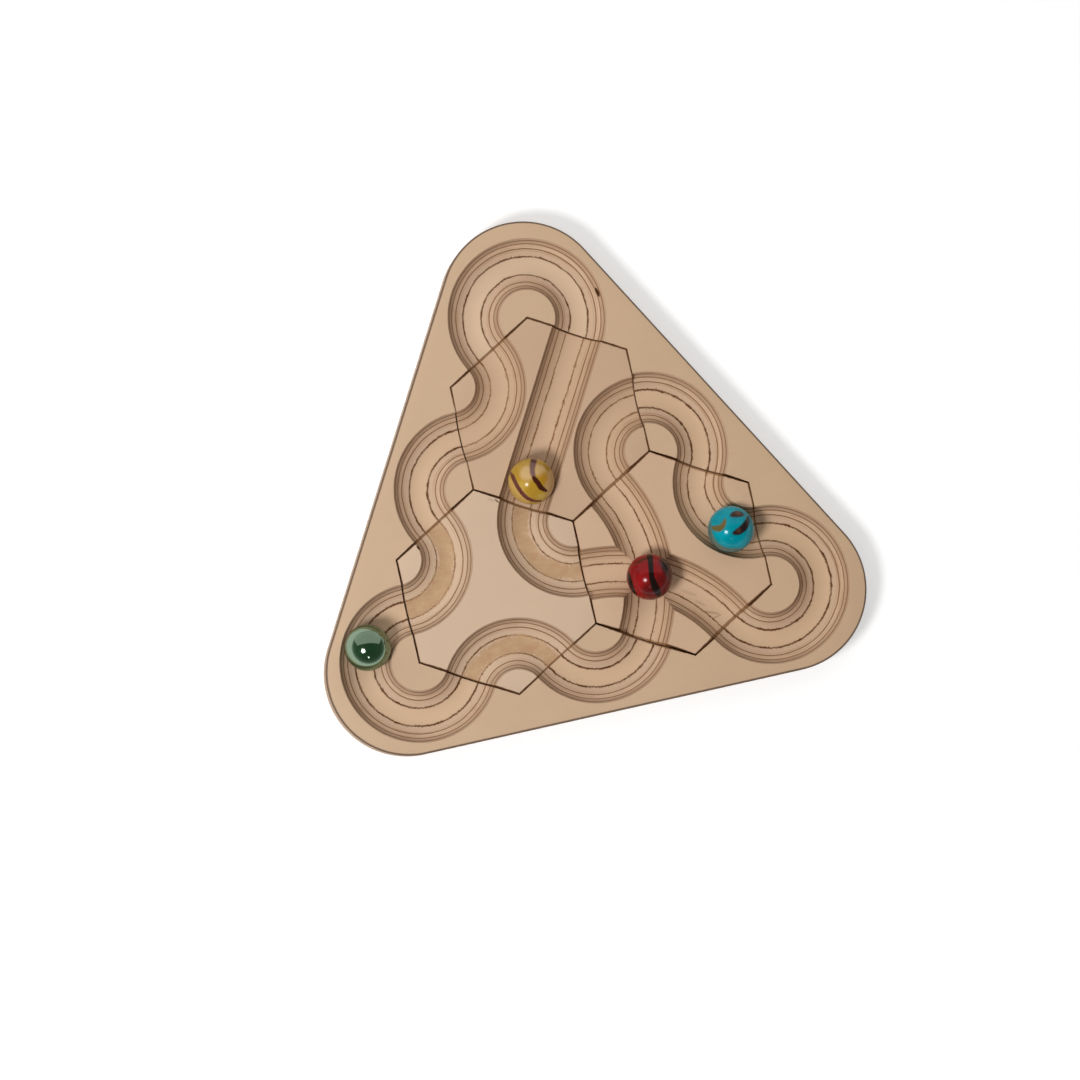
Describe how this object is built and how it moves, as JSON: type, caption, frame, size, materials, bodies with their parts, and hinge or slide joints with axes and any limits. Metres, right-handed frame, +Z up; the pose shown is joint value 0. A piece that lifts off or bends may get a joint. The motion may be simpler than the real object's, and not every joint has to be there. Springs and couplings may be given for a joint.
{
  "type": "marble maze",
  "caption": "Triangular wooden marble maze: a grooved plywood board with hexagonal track tiles that lift out to change the route, and glass marbles that roll in the tracks.",
  "frame": {"origin": "on the underside, below the corner where the three tiles meet", "axes": "+X along the board's long straight side, +Y from the origin to the middle of the straight-track tile, +Z up out of the tracks"},
  "size_m": [0.1904, 0.1725, 0.0223],
  "materials": {
    "base_plywood": "plain sanded birch plywood",
    "frame_plywood": "sanded birch plywood, dark glue lines in the tracks",
    "straight_tile_plywood": "sanded birch plywood, burnt cut edges",
    "three_bend_tile_plywood": "sanded birch plywood, paler veneer, burnt cut edges",
    "crossing_tile_plywood": "sanded birch plywood, burnt cut edges",
    "yellow_glass": "glossy opaque ochre glass with brown swirls",
    "red_glass": "glossy opaque red glass with black bands",
    "turquoise_glass": "glossy opaque turquoise glass with brown flecks",
    "green_glass": "glossy translucent dark green glass"
  },
  "bodies": {
    "board": {"base_panel": "base_plywood", "maze_frame": "frame_plywood"},
    "straight_tile": {"straight_tile": "straight_tile_plywood"},
    "three_bend_tile": {"three_bend_tile": "three_bend_tile_plywood"},
    "crossing_tile": {"crossing_tile": "crossing_tile_plywood"},
    "marble_yellow": {"marble_yellow": "yellow_glass"},
    "marble_red": {"marble_red": "red_glass"},
    "marble_turquoise": {"marble_turquoise": "turquoise_glass"},
    "marble_green": {"marble_green": "green_glass"}
  },
  "joints": [
    {"name": "straight_tile_lift", "type": "slide", "parent": "board", "child": "straight_tile", "axis": [0, 0, 1], "range_m": [0, 0.03]},
    {"name": "three_bend_tile_lift", "type": "slide", "parent": "board", "child": "three_bend_tile", "axis": [0, 0, 1], "range_m": [0, 0.03]},
    {"name": "crossing_tile_lift", "type": "slide", "parent": "board", "child": "crossing_tile", "axis": [0, 0, 1], "range_m": [0, 0.03]},
    {"name": "yellow_marble_roll", "type": "slide", "parent": "straight_tile", "child": "marble_yellow", "axis": [0.5, 0.866, 0], "range_m": [0, 0.045]},
    {"name": "red_marble_roll", "type": "hinge", "parent": "crossing_tile", "child": "marble_red", "pos_m": [-0.03118, -0.018, 0.0143], "axis": [0, 0, 1], "range_deg": [-14, 28]},
    {"name": "turquoise_marble_roll", "type": "hinge", "parent": "crossing_tile", "child": "marble_turquoise", "pos_m": [0.06235, 0, 0.0143], "axis": [0, 0, 1], "range_deg": [-58, 6]},
    {"name": "green_marble_roll", "type": "hinge", "parent": "board", "child": "marble_green", "pos_m": [-0.06235, -0.036, 0.0143], "axis": [0, 0, 1], "range_deg": [-35, 151]}
  ]
}
